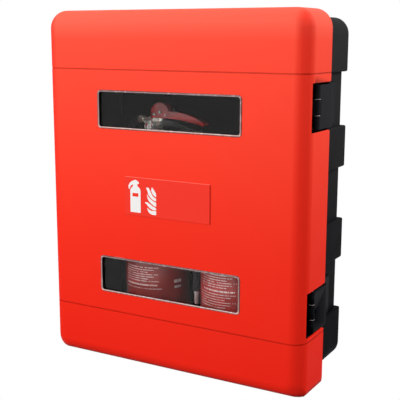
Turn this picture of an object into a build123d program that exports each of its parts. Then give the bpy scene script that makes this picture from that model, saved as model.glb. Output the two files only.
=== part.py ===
from build123d import *
import os
from dataclasses import dataclass
from math import cos, radians, sin

# Wall cabinet for two fire extinguishers, moulded in plastic: a black tub on the
# wall, and a red box-shaped door hinged on its right side, with two long windows
# and a sign plate. Two extinguishers hang inside from steel brackets.
# Millimetres and degrees. The origin is the centre of the flat back that meets the
# wall, +Z points up, and the cabinet faces -Y. Depths are counted from the front.

# Overall sizes
DOOR_WIDTH = 671.0
DOOR_HEIGHT = 834.0
DOOR_DEPTH = 123.5
TOTAL_DEPTH = 268.0
DOOR_GAP = 5.5

# Door moulding
DOOR_WALL = 4.0
DOOR_CORNER_R = 42.0
DOOR_EDGE_R = 34.0
DOOR_LIP_R = 1.2
GROOVE_TOP_Z = 283.8
GROOVE_BOTTOM_Z = -289.2
GROOVE_HEIGHT = 2.6
GROOVE_DEPTH = 1.0
RIB_THICKNESS = 2.5
RIB_HEIGHT = 12.0
RIB_SPACING = 141.0
RIB_CLEARANCE = 3.0

# Tub on the wall
BODY_INSET = 16.0
BODY_WALL = 4.0
BODY_CORNER_R = 38.0
BODY_EDGE_R = 4.0
PAD_RISE = 10.0
PAD_HEIGHT = 95.0
PAD_SHIFT = 3.0
PAD_PITCH = 217.0
BACK_WIDTH = 604.0
RIM_WIDTH = 9.0
RIM_THICKNESS = 4.0
RIM_EDGE_R = 1.0
SCREW_SPACING_X = 400.0
SCREW_HOLE_R = 4.5
BOSS_WALL = 8.0
BOSS_HEIGHT = 5.0

# Windows
WINDOW_WIDTH = 374.0
WINDOW_HEIGHT = 89.0
WINDOW_CORNER_R = 10.0
WINDOW_TOP_Z = 193.1
WINDOW_BOTTOM_Z = -198.9
PANE_THICKNESS = 2.5
PANE_BEAD_WIDTH = 3.6
PANE_PROUD = 1.2
PANE_FLANGE = 8.0
PANE_CLEARANCE = 0.3
FRAME_OVERHANG = 2.0
FRAME_THICKNESS = 3.0

# Sign plate
SIGN_WIDTH = 224.0
SIGN_HEIGHT = 89.0
SIGN_THICKNESS = 2.0
SIGN_CORNER_R = 2.0
SIGN_Z = -2.7

# Notches in the door's flanks, with hinges on the right and catches on the left
NOTCH_HEIGHT = 103.0
NOTCH_FRONT_DEPTH = 27.0
NOTCH_CORNER_R = 3.0
NOTCH_FLARE_R = 6.0
POCKET_WALL = 3.0
POCKET_CLEARANCE = 5.0
HINGE_TOP_Z = 213.8
HINGE_BOTTOM_Z = -224.6
BARREL_R = 7.0
BARREL_DEPTH = 65.0
BARREL_GAP = 1.0
MIDDLE_KNUCKLE = 33.0
PIN_R = 3.0
PIN_CLEARANCE = 0.05
ARM_NOTCH_CLEARANCE = 5.0
ARM_THICKNESS = 5.0
ARM_EDGE_R = 1.2
ARM_BEND_R = 6.0
ARM_BEND_LENGTH = 18.0
ARM_FOOT_LENGTH = 52.0
ARM_RIM_CLEARANCE = 3.0
CATCH_DEPTH = 36.0
CATCH_LENGTH = 27.0
CATCH_GAP = 6.0
CATCH_GRIP_R = 1.5
CATCH_GRIP_PITCH = 8.0
CATCH_STEM = 14.0

# Bottles. The middle points of the shoulder's and the foot's curve are shares of
# the radius, and of the shoulder's height or the dish's depth.
BOTTLE_R = 80.0
BOTTLE_SPACING = 214.0
BOTTLE_DEPTH = 130.0
NECK_R = 15.0
NECK_LENGTH = 8.0
SHOULDER_HEIGHT = 66.0
FOOT_CURVE = 24.0
FOOT_DISH = 14.0
SHOULDER_MIDDLE = (0.62, 0.36)
FOOT_MIDDLE = (0.75, 0.3)
FIT_GAP = 0.3
LEFT_HEIGHT = 540.0
LEFT_LIFT = 60.0
LEFT_HOSE_ANGLE = 166.0
LEFT_HOSE_DROP = 348.0
RIGHT_HEIGHT = 500.0
RIGHT_LIFT = 16.0
RIGHT_HOSE_ANGLE = 188.0
RIGHT_HOSE_DROP = 317.0
BASE_RING_HEIGHT = 34.0
BASE_RING_WALL = 3.0
BASE_RING_FLARE = 3.0

# Valve head
HEAD_HEIGHT = 82.0
COLLAR_R = 20.0
COLLAR_HEIGHT = 6.0
NUT_R = 18.0
NUT_HEIGHT = 8.0
VALVE_R = 14.0
VALVE_TOP = 45.0
TONGUE_TOP = 66.0
TONGUE_LENGTH = 26.0
PORT_Z = 38.0
PORT_R = 7.0
PORT_NUT_R = 8.5
PORT_NUT_LENGTH = 12.0
PORT_REACH = 54.0
PIVOT_R = 2.5
PIVOT_X = -1.0
PIVOT_Z = 54.0
STOP_X = 15.0
STOP_Z = 60.0
GAUGE_R = 12.5
GAUGE_DEPTH = 10.0
GAUGE_BEZEL = 1.6
GAUGE_X = -3.0
GAUGE_Z = 27.0
GAUGE_STEM_R = 4.0
GAUGE_STANDOFF = 8.0

# Lever, handle and safety pin. The points of the lever's outline are shares of its
# length and of the head's height, and the handle's are shares of its own length.
LEVER_LENGTH = 140.0
LEVER_WIDTH = 20.0
LEVER_SHEET = 1.6
LEVER_ROOT = (-0.08, 0.72)
LEVER_CROWN = (0.12, 1.0)
LEVER_WAIST = (0.28, 0.76)
LEVER_RIDGE = (0.66, 0.68)
LEVER_TIP_TOP = 0.44
LEVER_TIP = (0.96, 0.38)
LEVER_BELLY = (0.60, 0.51)
HANDLE_LENGTH = 124.0
HANDLE_WIDTH = 18.0
HANDLE_BEND = (0.42, 0.04)
HANDLE_BELLY = (0.40, 0.13)
HANDLE_TIP = ((0.96, 0.15), (1.0, 0.08), (0.97, 0.06))
HANDLE_ROOT = 0.6
SAFETY_PIN_R = 1.6
SAFETY_PIN_X = 29.0
SAFETY_PIN_Z = 54.0
SAFETY_RING_R = 11.0
SAFETY_WIRE_R = 1.3

# Hose, its clip and its nozzle
HOSE_R = 8.5
HOSE_GAP = 8.0
HOSE_BEND_R = 42.0
NOZZLE_LENGTH = 34.0
NOZZLE_TIP_R = 5.0
NOZZLE_R = 6.8
CLIP_DROP = 110.0
CLIP_HEIGHT = 18.0
CLIP_WALL = 2.2
CLIP_MOUTH = 11.0

# Brackets on the tub's back that carry each bottle
BRACKET_WIDTH = 56.0
BRACKET_SHEET = 4.0
BRACKET_PLATE_HEIGHT = 62.0
BRACKET_GUSSET = 40.0
BRACKET_GUSSET_SPACING = 44.0
CRADLE_DROP = 330.0
CRADLE_WIDTH = 92.0
CRADLE_HEIGHT = 46.0
CRADLE_WALL = 3.0
CRADLE_WEB_SPACING = 52.0

# Derived places
FRONT_Y = -TOTAL_DEPTH
DOOR_INNER_Y = FRONT_Y + DOOR_WALL
DOOR_REAR_Y = FRONT_Y + DOOR_DEPTH
BODY_FRONT_Y = DOOR_REAR_Y + DOOR_GAP
DOOR_HALF = DOOR_WIDTH / 2
EDGE_R = min(DOOR_EDGE_R, DOOR_CORNER_R - DOOR_WALL / 4)
BODY_WIDTH = DOOR_WIDTH - 2 * BODY_INSET
BODY_HEIGHT = DOOR_HEIGHT - 2 * BODY_INSET
FLOOR_Z = -BODY_HEIGHT / 2 + BODY_WALL
CHANNEL_X = BODY_WIDTH / 2 - PAD_RISE
SCREW_Z = 1.5 * PAD_PITCH
HINGE_X = DOOR_HALF - BARREL_R
HINGE_Y = FRONT_Y + BARREL_DEPTH
POCKET_X = HINGE_X - BARREL_R - POCKET_CLEARANCE
NOTCH_ZS = {"upper": HINGE_TOP_Z, "lower": HINGE_BOTTOM_Z}
WINDOW_ZS = {"upper": WINDOW_TOP_Z, "lower": WINDOW_BOTTOM_Z}
ARM_HEIGHT = NOTCH_HEIGHT - 2 * ARM_NOTCH_CLEARANCE
CATCH_FRONT_Y = FRONT_Y + CATCH_DEPTH
CATCH_REAR_Y = CATCH_FRONT_Y + CATCH_LENGTH
BOTTLE_Y = FRONT_Y + BOTTLE_DEPTH
HOSE_REACH = BOTTLE_R + HOSE_GAP + HOSE_R
WALL_Y = -BODY_WALL
FAR = 2000.0
CUT = 1.0
TOUCH = 0.05


@dataclass(frozen=True)
class Extinguisher:
    """One bottle in its place: its centre line, height, lift off the floor and hose."""

    x: float
    height: float
    lift: float
    hose_angle: float
    hose_drop: float

    @property
    def foot_z(self):
        return FLOOR_Z + self.lift

    @property
    def collar_z(self):
        return self.foot_z + self.height - HEAD_HEIGHT

    def beside(self, reach, z):
        """Point at a reach from the centre line, on the hose's side, z above the collar."""
        angle = radians(self.hose_angle)
        return Vector(self.x + reach * cos(angle), BOTTLE_Y + reach * sin(angle), self.collar_z + z)

    def on_axis(self, z, shape):
        """Moves a shape drawn at the origin onto the centre line, z above the collar."""
        return Pos(self.x, BOTTLE_Y, self.collar_z + z) * shape


EXTINGUISHERS = {
    "left": Extinguisher(-BOTTLE_SPACING / 2, LEFT_HEIGHT, LEFT_LIFT, LEFT_HOSE_ANGLE, LEFT_HOSE_DROP),
    "right": Extinguisher(BOTTLE_SPACING / 2, RIGHT_HEIGHT, RIGHT_LIFT, RIGHT_HOSE_ANGLE, RIGHT_HOSE_DROP),
}


def plate(width, height, corner_r, y0, y1, x=0.0, z=0.0):
    """Upright slab with rounded corners that fills from y0 back to y1."""
    outline = RectangleRounded(width, height, corner_r) if corner_r > 0 else Rectangle(width, height)
    return extrude(Plane.XZ.offset(-y1) * Pos(x, z) * outline, y1 - y0)


def band(z0, z1):
    """Wide horizontal slab that keeps or cuts one range of heights."""
    return Pos(0, 0, (z0 + z1) / 2) * Box(FAR, FAR, z1 - z0)


def rod(radius, start, end):
    """Round bar between two points."""
    run = Vector(end) - Vector(start)
    return extrude(Plane(origin=Vector(start), z_dir=run) * Circle(radius), run.length)


def ring(outer_r, inner_r, height):
    """Upright ring centred on the origin."""
    return Cylinder(outer_r, height) - Cylinder(inner_r, height + 2 * CUT)


def side_profile(points, width, x=0.0, y=0.0, z=0.0):
    """Closed outline in X and Z, made width deep and centred on y."""
    outline = make_face(Polyline(*points, close=True))
    return Pos(x, y, z) * extrude(Plane.XZ.offset(-width / 2) * outline, width)


def write(node, shape):
    """Saves one named piece."""
    shape.label = node
    export_step(shape, f"parts/{node}.step")


def door_volume(inset, rear_y):
    """The door's outer form drawn in by an inset and closed at rear_y."""
    block = plate(DOOR_WIDTH - 2 * inset, DOOR_HEIGHT - 2 * inset, DOOR_CORNER_R - inset,
                  FRONT_Y + inset, rear_y)
    front = block.faces().sort_by(Axis.Y)[0]
    return fillet(front.edges(), EDGE_R - inset)


def notch_outline(half, front, flare_r):
    """Outline of a notch in Y and Z, open through the door's rear edge, its mouth flared."""
    flare = half + 2 * flare_r
    behind = DOOR_REAR_Y + 2 * flare_r
    outline = make_face(Polyline((front, half), (DOOR_REAR_Y, half), (DOOR_REAR_Y, flare), (behind, flare),
                                 (behind, -flare), (DOOR_REAR_Y, -flare), (DOOR_REAR_Y, -half),
                                 (front, -half), close=True))
    inner = [v for v in outline.vertices() if abs(v.X - front) < CUT]
    outline = fillet(inner, NOTCH_CORNER_R)
    mouth = [v for v in outline.vertices() if abs(v.X - DOOR_REAR_Y) < CUT and abs(v.Y) < half + CUT]
    return fillet(mouth, flare_r)


def notch_cut(side, z):
    """Opening in a flank, and the pocket behind it that the hinge or catch stands in."""
    half = NOTCH_HEIGHT / 2
    front = FRONT_Y + NOTCH_FRONT_DEPTH
    mouth = extrude(Plane.YZ.offset(DOOR_HALF - DOOR_WALL) * notch_outline(half, front, NOTCH_FLARE_R),
                    2 * DOOR_WALL)
    pocket_depth = DOOR_HALF - POCKET_X
    length = DOOR_REAR_Y + CUT - front
    pocket = Pos(POCKET_X + pocket_depth / 2, front + length / 2, 0) * Box(pocket_depth, length, NOTCH_HEIGHT)
    cut = mouth + fillet(pocket.faces().sort_by(Axis.Y)[0].edges().filter_by(Axis.X), NOTCH_CORNER_R)
    if side < 0:
        cut = mirror(cut, Plane.YZ)
    return Pos(0, 0, z) * cut


def pocket_block(side, z):
    """Block inside a flank that the notch's cut hollows into a thin-walled pocket."""
    x0 = POCKET_X - POCKET_WALL
    x1 = DOOR_HALF - DOOR_WALL / 2
    y0 = FRONT_Y + NOTCH_FRONT_DEPTH - POCKET_WALL
    block = Box(x1 - x0, DOOR_REAR_Y - y0, NOTCH_HEIGHT + 2 * POCKET_WALL)
    inner = block.faces().sort_by(Axis.X)[0].edges().filter_by(Axis.Y) + block.edges().filter_by(
        Axis.Z).sort_by(Axis.X)[:2].sort_by(Axis.Y)[:1]
    block = fillet(inner, NOTCH_CORNER_R)
    if side < 0:
        block = mirror(block, Plane.YZ)
    return Pos(side * (x0 + x1) / 2, (y0 + DOOR_REAR_Y) / 2, z) * block


def window_keepout(z, grow):
    """Space that a pane's flange and frame take behind the door, grown all round."""
    spread = 2 * (PANE_FLANGE + grow)
    return plate(WINDOW_WIDTH + spread, WINDOW_HEIGHT + spread, WINDOW_CORNER_R + PANE_FLANGE + grow,
                 DOOR_INNER_Y - DOOR_WALL / 2, DOOR_INNER_Y + RIB_HEIGHT + CUT, z=z)


def door_ribs():
    """Grid of ribs behind the front panel, cut back round the windows."""
    start = DOOR_INNER_Y - DOOR_WALL / 2
    end = DOOR_INNER_Y + RIB_HEIGHT
    height = DOOR_HEIGHT - 2 * EDGE_R
    ribs = Part()
    for column in (-1.5, -0.5, 0.5, 1.5):
        ribs += plate(RIB_THICKNESS, height, 0, start, end, x=column * RIB_SPACING)
    for z in (GROOVE_TOP_Z, 0.0, GROOVE_BOTTOM_Z):
        ribs += plate(DOOR_WIDTH - 2 * EDGE_R, RIB_THICKNESS, 0, start, end, z=z)
    for z in WINDOW_ZS.values():
        ribs -= window_keepout(z, RIB_CLEARANCE)
    return ribs


def door_shell():
    """Red moulded door: rounded box with grooves, notches, window openings and ribs."""
    solid = door_volume(0.0, DOOR_REAR_Y)
    rear = solid.faces().sort_by(Axis.Y)[-1]
    outer = fillet(rear.edges(), DOOR_LIP_R)
    shell = outer - door_volume(DOOR_WALL, DOOR_REAR_Y + CUT)
    shell += door_ribs()
    for z in (GROOVE_TOP_Z, GROOVE_BOTTOM_Z):
        line = band(z - GROOVE_HEIGHT / 2, z + GROOVE_HEIGHT / 2)
        shell -= (solid & line) - door_volume(GROOVE_DEPTH, DOOR_REAR_Y + CUT)
    for z in WINDOW_ZS.values():
        shell -= plate(WINDOW_WIDTH, WINDOW_HEIGHT, WINDOW_CORNER_R, FRONT_Y - CUT, DOOR_INNER_Y + CUT, z=z)
    for z in NOTCH_ZS.values():
        for side in (-1, 1):
            shell += pocket_block(side, z)
            shell -= notch_cut(side, z)
    return shell


def window_pane(z):
    """Clear moulded pane: flanged plate with a raised bead round its front."""
    width = WINDOW_WIDTH - 2 * PANE_CLEARANCE
    height = WINDOW_HEIGHT - 2 * PANE_CLEARANCE
    corner = WINDOW_CORNER_R - PANE_CLEARANCE
    front = FRONT_Y - PANE_PROUD
    pane = plate(width, height, corner, front, DOOR_INNER_Y, z=z)
    pane += plate(WINDOW_WIDTH + 2 * PANE_FLANGE, WINDOW_HEIGHT + 2 * PANE_FLANGE,
                  WINDOW_CORNER_R + PANE_FLANGE, DOOR_INNER_Y, DOOR_INNER_Y + PANE_THICKNESS, z=z)
    pane -= plate(width - 2 * PANE_BEAD_WIDTH, height - 2 * PANE_BEAD_WIDTH, corner - PANE_BEAD_WIDTH,
                  front - CUT, DOOR_INNER_Y, z=z)
    bead = pane.faces().sort_by(Axis.Y)[0]
    return fillet(bead.edges(), min(PANE_PROUD, PANE_BEAD_WIDTH / 3))


def window_frame(z):
    """Black frame that clamps a pane's flange against the door's inner face."""
    y0 = DOOR_INNER_Y + PANE_THICKNESS
    y1 = y0 + FRAME_THICKNESS
    outer = plate(WINDOW_WIDTH + 2 * PANE_FLANGE, WINDOW_HEIGHT + 2 * PANE_FLANGE,
                  WINDOW_CORNER_R + PANE_FLANGE, y0, y1, z=z)
    inner = plate(WINDOW_WIDTH - 2 * FRAME_OVERHANG, WINDOW_HEIGHT - 2 * FRAME_OVERHANG,
                  WINDOW_CORNER_R - FRAME_OVERHANG, y0 - CUT, y1 + CUT, z=z)
    return outer - inner


def sign_plate():
    """Flat rectangular plate on the front, between the windows."""
    return plate(SIGN_WIDTH, SIGN_HEIGHT, SIGN_CORNER_R, FRONT_Y - SIGN_THICKNESS, FRONT_Y, z=SIGN_Z)


def tub_pad(full, z0, z1, side_x, edge_r):
    """One raised pad: a slice of the full outline with its back and step edges rounded."""
    pad = full & band(z0, z1)
    back_edges = pad.faces().sort_by(Axis.Y)[-1].edges()
    steps = [edge for edge in pad.edges().filter_by(Axis.Y)
             if abs(abs(edge.center().X) - side_x) < TOUCH
             and min(abs(edge.center().Z - z0), abs(edge.center().Z - z1)) < TOUCH]
    return fillet(list(back_edges) + steps, edge_r)


def tub_volume(inset, front_y):
    """The tub's outer form, with its flat back and side pads, drawn in by an inset."""
    edge_r = max(BODY_EDGE_R - inset, BODY_EDGE_R / 6)
    corner_r = BODY_CORNER_R - inset
    width = BODY_WIDTH - 2 * inset
    height = BODY_HEIGHT - 2 * inset
    core = plate(width - 2 * PAD_RISE, height, corner_r, front_y, -PAD_RISE - inset)
    volume = fillet(core.faces().sort_by(Axis.Y)[-1].edges(), edge_r)
    back = plate(BACK_WIDTH - 2 * inset, height, corner_r, front_y, -inset)
    volume += fillet(back.faces().sort_by(Axis.Y)[-1].edges(), edge_r)
    full = plate(width, height, corner_r, front_y, -inset)
    half = PAD_HEIGHT / 2 - inset
    for row in (-1.5, -0.5, 0.5, 1.5):
        z0 = PAD_SHIFT + row * PAD_PITCH - half if row > -1 else -FAR / 2
        z1 = PAD_SHIFT + row * PAD_PITCH + half if row < 1 else FAR / 2
        volume += tub_pad(full, z0, z1, width / 2, edge_r)
    return volume


def body_tub():
    """Black moulded tub: even wall, rim round its mouth, bosses at the wall screws."""
    rim = plate(BODY_WIDTH + 2 * RIM_WIDTH, BODY_HEIGHT + 2 * RIM_WIDTH, BODY_CORNER_R + RIM_WIDTH,
                BODY_FRONT_Y, BODY_FRONT_Y + RIM_THICKNESS)
    rim = fillet(rim.faces().sort_by(Axis.Y)[0].edges(), RIM_EDGE_R)
    tub = tub_volume(0.0, BODY_FRONT_Y) + rim
    tub -= tub_volume(BODY_WALL, BODY_FRONT_Y - CUT)
    for x in (-SCREW_SPACING_X / 2, SCREW_SPACING_X / 2):
        for z in (-SCREW_Z, SCREW_Z):
            tub += rod(SCREW_HOLE_R + BOSS_WALL, (x, WALL_Y - BOSS_HEIGHT, z), (x, WALL_Y, z))
            tub -= rod(SCREW_HOLE_R, (x, WALL_Y - BOSS_HEIGHT - CUT, z), (x, CUT, z))
    return tub


def arm_strip(side, z, front_y):
    """Moulded strip: flush with the door's flank, bent in, with a foot on the tub."""
    outer_x = DOOR_HALF
    foot_x = CHANNEL_X + ARM_THICKNESS
    bend_y = BODY_FRONT_Y + RIM_THICKNESS + ARM_RIM_CLEARANCE
    foot_y = bend_y + ARM_BEND_LENGTH
    end_y = foot_y + ARM_FOOT_LENGTH
    points = [(outer_x, front_y), (outer_x, bend_y), (foot_x, foot_y), (foot_x, end_y),
              (CHANNEL_X, end_y), (CHANNEL_X, foot_y - ARM_THICKNESS / 2),
              (outer_x - ARM_THICKNESS, bend_y - ARM_THICKNESS / 2), (outer_x - ARM_THICKNESS, front_y)]
    outline = make_face(Polyline(*points, close=True))
    bends = [v for v in outline.vertices() if bend_y - ARM_THICKNESS < v.Y < foot_y + CUT]
    outline = fillet(bends, ARM_BEND_R)
    strip = extrude(Pos(0, 0, -ARM_HEIGHT / 2) * outline, ARM_HEIGHT)
    ends = list(strip.faces().sort_by(Axis.Z)[-1].edges()) + list(strip.faces().sort_by(Axis.Z)[0].edges())
    outside = [e for e in ends if e.center().X > outer_x - ARM_THICKNESS / 2 and e.center().Y < bend_y]
    strip = fillet(outside, ARM_EDGE_R)
    if side < 0:
        strip = mirror(strip, Plane.YZ)
    return Pos(0, 0, z) * strip


def hinge_arm(z):
    """Fixed half of a hinge: arm on the tub with an upper and a lower knuckle."""
    axis = Pos(HINGE_X, HINGE_Y, z)
    arm = arm_strip(1, z, HINGE_Y) + axis * Cylinder(BARREL_R, ARM_HEIGHT)
    arm -= axis * Cylinder(BARREL_R + BARREL_GAP, MIDDLE_KNUCKLE + 2 * BARREL_GAP)
    return arm - axis * Cylinder(PIN_R + PIN_CLEARANCE, ARM_HEIGHT + 2 * CUT)


def hinge_pin(z):
    """Steel pin through the three knuckles."""
    pin = Cylinder(PIN_R, ARM_HEIGHT)
    return Pos(HINGE_X, HINGE_Y, z) * chamfer(pin.edges().filter_by(GeomType.CIRCLE), PIN_R / 6)


def door_knuckle(z):
    """Moving half of a hinge: the middle knuckle, on a lug from the pocket's floor."""
    axis = Pos(HINGE_X, HINGE_Y, z)
    reach = HINGE_X - POCKET_X
    lug = Pos(POCKET_X + reach / 2, HINGE_Y, z) * Box(reach, 2 * BARREL_R, MIDDLE_KNUCKLE)
    knuckle = axis * Cylinder(BARREL_R, MIDDLE_KNUCKLE) + lug
    return knuckle - axis * Cylinder(PIN_R + PIN_CLEARANCE, MIDDLE_KNUCKLE + 2 * CUT)


def keeper(z):
    """Fixed half of a catch: an arm like a hinge's that ends short of the catch."""
    front_y = CATCH_REAR_Y + CATCH_GAP
    arm = arm_strip(-1, z, front_y)
    tip = [e for e in arm.faces().sort_by(Axis.Y)[0].edges().filter_by(Axis.Z)]
    return fillet(tip, ARM_THICKNESS / 3)


def catch(z):
    """Moving half of a catch: ribbed finger plate in the notch, on a stem from the pocket's floor."""
    face_x = -DOOR_HALF
    back_x = face_x + ARM_THICKNESS
    middle_y = (CATCH_FRONT_Y + CATCH_REAR_Y) / 2
    finger = Pos((face_x + back_x) / 2, middle_y, z) * Box(ARM_THICKNESS, CATCH_LENGTH, ARM_HEIGHT)
    finger = fillet(finger.faces().sort_by(Axis.X)[0].edges(), ARM_EDGE_R)
    for row in (-1, 0, 1):
        y = middle_y + row * CATCH_GRIP_PITCH
        finger -= rod(CATCH_GRIP_R, (face_x, y, z - MIDDLE_KNUCKLE), (face_x, y, z + MIDDLE_KNUCKLE))
    reach = -POCKET_X - back_x
    return finger + Pos(back_x + reach / 2, middle_y, z) * Box(reach, CATCH_STEM, MIDDLE_KNUCKLE)


def bottle(unit):
    """Steel bottle with a dished foot, straight wall, domed shoulder and neck."""
    neck_z = unit.height - HEAD_HEIGHT
    root_z = neck_z - NECK_LENGTH
    shoulder_z = neck_z - SHOULDER_HEIGHT
    shoulder_middle = (BOTTLE_R * SHOULDER_MIDDLE[0], neck_z - SHOULDER_HEIGHT * SHOULDER_MIDDLE[1])
    foot_middle = (BOTTLE_R * FOOT_MIDDLE[0], FOOT_DISH * FOOT_MIDDLE[1])
    with BuildLine() as line:
        Polyline((0, FOOT_DISH), (0, neck_z), (NECK_R, neck_z), (NECK_R, root_z))
        Spline((NECK_R, root_z), shoulder_middle, (BOTTLE_R, shoulder_z), tangents=[(0.6, -1), (0, -1)])
        Line((BOTTLE_R, shoulder_z), (BOTTLE_R, FOOT_CURVE))
        Spline((BOTTLE_R, FOOT_CURVE), foot_middle, (0, FOOT_DISH), tangents=[(0, -1), (-1, 0)])
    return Pos(unit.x, BOTTLE_Y, unit.foot_z) * revolve(Plane.XZ * make_face(line.line), Axis.Z)


def base_ring(unit):
    """Flared plastic skirt round a bottle's foot."""
    inner = BOTTLE_R + FIT_GAP
    outer = inner + BASE_RING_WALL
    profile = Polyline((inner, 0), (outer + BASE_RING_FLARE, 0), (outer, BASE_RING_HEIGHT),
                       (inner, BASE_RING_HEIGHT), close=True)
    return Pos(unit.x, BOTTLE_Y, unit.foot_z) * revolve(Plane.XZ * make_face(profile), Axis.Z)


def valve(unit):
    """Plated valve: collar, nut, body, lever tongue with two pins, and the hose port."""
    nut_top = COLLAR_HEIGHT + NUT_HEIGHT
    tongue_width = LEVER_WIDTH - 2 * LEVER_SHEET - 2 * FIT_GAP
    body = extrude(Circle(COLLAR_R), COLLAR_HEIGHT)
    body += extrude(Pos(0, 0, COLLAR_HEIGHT) * RegularPolygon(NUT_R, 6), NUT_HEIGHT)
    body += extrude(Pos(0, 0, nut_top) * Circle(VALVE_R), VALVE_TOP - nut_top)
    body += Pos(STOP_X / 2, 0, (PORT_Z + TONGUE_TOP) / 2) * Box(
        TONGUE_LENGTH, tongue_width, TONGUE_TOP - PORT_Z)
    for x, z in ((PIVOT_X, PIVOT_Z), (STOP_X, STOP_Z)):
        half = LEVER_WIDTH / 2 + LEVER_SHEET
        body += rod(PIVOT_R, (x, -half, z), (x, half, z))
    placed = unit.on_axis(0, body)
    nut_start = unit.beside(VALVE_R - CUT, PORT_Z)
    nut_end = unit.beside(VALVE_R + PORT_NUT_LENGTH, PORT_Z)
    placed += rod(PORT_NUT_R, nut_start, nut_end)
    return placed + rod(PORT_R, nut_end, unit.beside(PORT_REACH, PORT_Z))


def gauge(unit):
    """Round pressure gauge with a raised bezel, on a stem from the valve's front."""
    back = -VALVE_R - GAUGE_STANDOFF
    front = back - GAUGE_DEPTH
    case = rod(GAUGE_R, (GAUGE_X, front, 0), (GAUGE_X, back, 0))
    case -= rod(GAUGE_R - GAUGE_BEZEL, (GAUGE_X, front - CUT, 0), (GAUGE_X, front + GAUGE_BEZEL, 0))
    case += rod(GAUGE_STEM_R, (GAUGE_X, back, 0), (GAUGE_X / 2, 0, 0))
    case -= Cylinder(VALVE_R + FIT_GAP / 3, 4 * GAUGE_R)
    return unit.on_axis(GAUGE_Z, case.solids().sort_by(Axis.Y)[0])


def lever_point(share):
    """Point of the lever's outline from its shares of the length and the height."""
    return share[0] * LEVER_LENGTH, share[1] * HEAD_HEIGHT


def lever_outline():
    """Side view of the lever: a humped root over the valve and a long drooping blade."""
    root = lever_point(LEVER_ROOT)
    waist = lever_point(LEVER_WAIST)
    tip = lever_point(LEVER_TIP)
    tip_top = (LEVER_LENGTH - LEVER_SHEET, LEVER_TIP_TOP * HEAD_HEIGHT)
    seat = VALVE_TOP + FIT_GAP
    with BuildLine() as line:
        Line((root[0], seat), root)
        ThreePointArc(root, lever_point(LEVER_CROWN), waist)
        ThreePointArc(waist, lever_point(LEVER_RIDGE), tip_top)
        Line(tip_top, tip)
        ThreePointArc(tip, lever_point(LEVER_BELLY), (waist[0], seat))
        Line((waist[0], seat), (root[0], seat))
    return make_face(line.line)


def folded_sheet(outline, width, sheet):
    """Channel folded from sheet: the outline as two cheeks joined along their top."""
    inside = extrude(Plane.XZ.offset(-(width / 2 - sheet)) * outline, width - 2 * sheet)
    return extrude(Plane.XZ.offset(-width / 2) * outline, width) - Pos(0, 0, -sheet) * inside


def lever(unit):
    """Red squeeze lever folded from sheet, with holes for its two pins."""
    shape = folded_sheet(lever_outline(), LEVER_WIDTH, LEVER_SHEET)
    tall = HEAD_HEIGHT - VALVE_TOP
    tongue = Pos(STOP_X / 2, 0, VALVE_TOP) * Box(
        TONGUE_LENGTH + 2 * FIT_GAP, LEVER_WIDTH - 2 * LEVER_SHEET, tall)
    shape -= tongue
    holes = ((PIVOT_X, PIVOT_Z, PIVOT_R), (STOP_X, STOP_Z, PIVOT_R),
             (SAFETY_PIN_X, SAFETY_PIN_Z, SAFETY_PIN_R))
    for x, z, radius in holes:
        shape -= rod(radius + FIT_GAP / 3, (x, -LEVER_WIDTH, z), (x, LEVER_WIDTH, z))
    return unit.on_axis(0, shape)


def carry_handle(unit):
    """Black fixed handle below the lever."""
    root = VALVE_R + FIT_GAP
    high = VALVE_TOP - 2 * FIT_GAP
    points = [(root, high)]
    points.append((HANDLE_BEND[0] * HANDLE_LENGTH, high - HANDLE_BEND[1] * HANDLE_LENGTH))
    points += [(along * HANDLE_LENGTH, rise * HANDLE_LENGTH) for along, rise in HANDLE_TIP]
    points.append((HANDLE_BELLY[0] * HANDLE_LENGTH, high - HANDLE_BELLY[1] * HANDLE_LENGTH))
    points.append((root, HANDLE_ROOT * high))
    shape = side_profile(points, HANDLE_WIDTH)
    upper = [e for e in shape.edges().filter_by(Axis.Y) if e.center().X > TONGUE_LENGTH]
    shape = fillet(upper, LEVER_SHEET / 2)
    tongue = Pos(STOP_X / 2, 0, VALVE_TOP) * Box(
        TONGUE_LENGTH + 2 * FIT_GAP, LEVER_WIDTH, 2 * (VALVE_TOP - PORT_Z) + FIT_GAP)
    return unit.on_axis(0, shape - tongue)


def safety_pin(unit):
    """Wire pin through the lever's cheeks with its pull ring on the wall side."""
    half = LEVER_WIDTH / 2
    tail = half + 2 * SAFETY_PIN_R
    pin = rod(SAFETY_PIN_R, (SAFETY_PIN_X, -half - SAFETY_PIN_R, 0), (SAFETY_PIN_X, tail, 0))
    loop = Pos(SAFETY_PIN_X, tail + SAFETY_RING_R, 0) * Rot(0, 90, 0) * Torus(SAFETY_RING_R, SAFETY_WIRE_R)
    return unit.on_axis(SAFETY_PIN_Z, pin + loop)


def hose(unit):
    """Black hose from the valve's port, out and straight down beside the bottle."""
    start = unit.beside(PORT_REACH, PORT_Z)
    corner = unit.beside(HOSE_REACH, PORT_Z)
    end = corner - Vector(0, 0, unit.hose_drop)
    path = FilletPolyline(start, corner, end, radius=min(HOSE_BEND_R, HOSE_REACH - PORT_REACH - FIT_GAP))
    return sweep(Plane(origin=start, z_dir=corner - start) * Circle(HOSE_R), path)


def nozzle(unit):
    """Tapered metal nozzle on the hose's lower end."""
    end = unit.beside(HOSE_REACH, PORT_Z - unit.hose_drop)
    return Pos(end.X, end.Y, end.Z - NOZZLE_LENGTH / 2) * Cone(NOZZLE_TIP_R, NOZZLE_R, NOZZLE_LENGTH)


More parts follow.
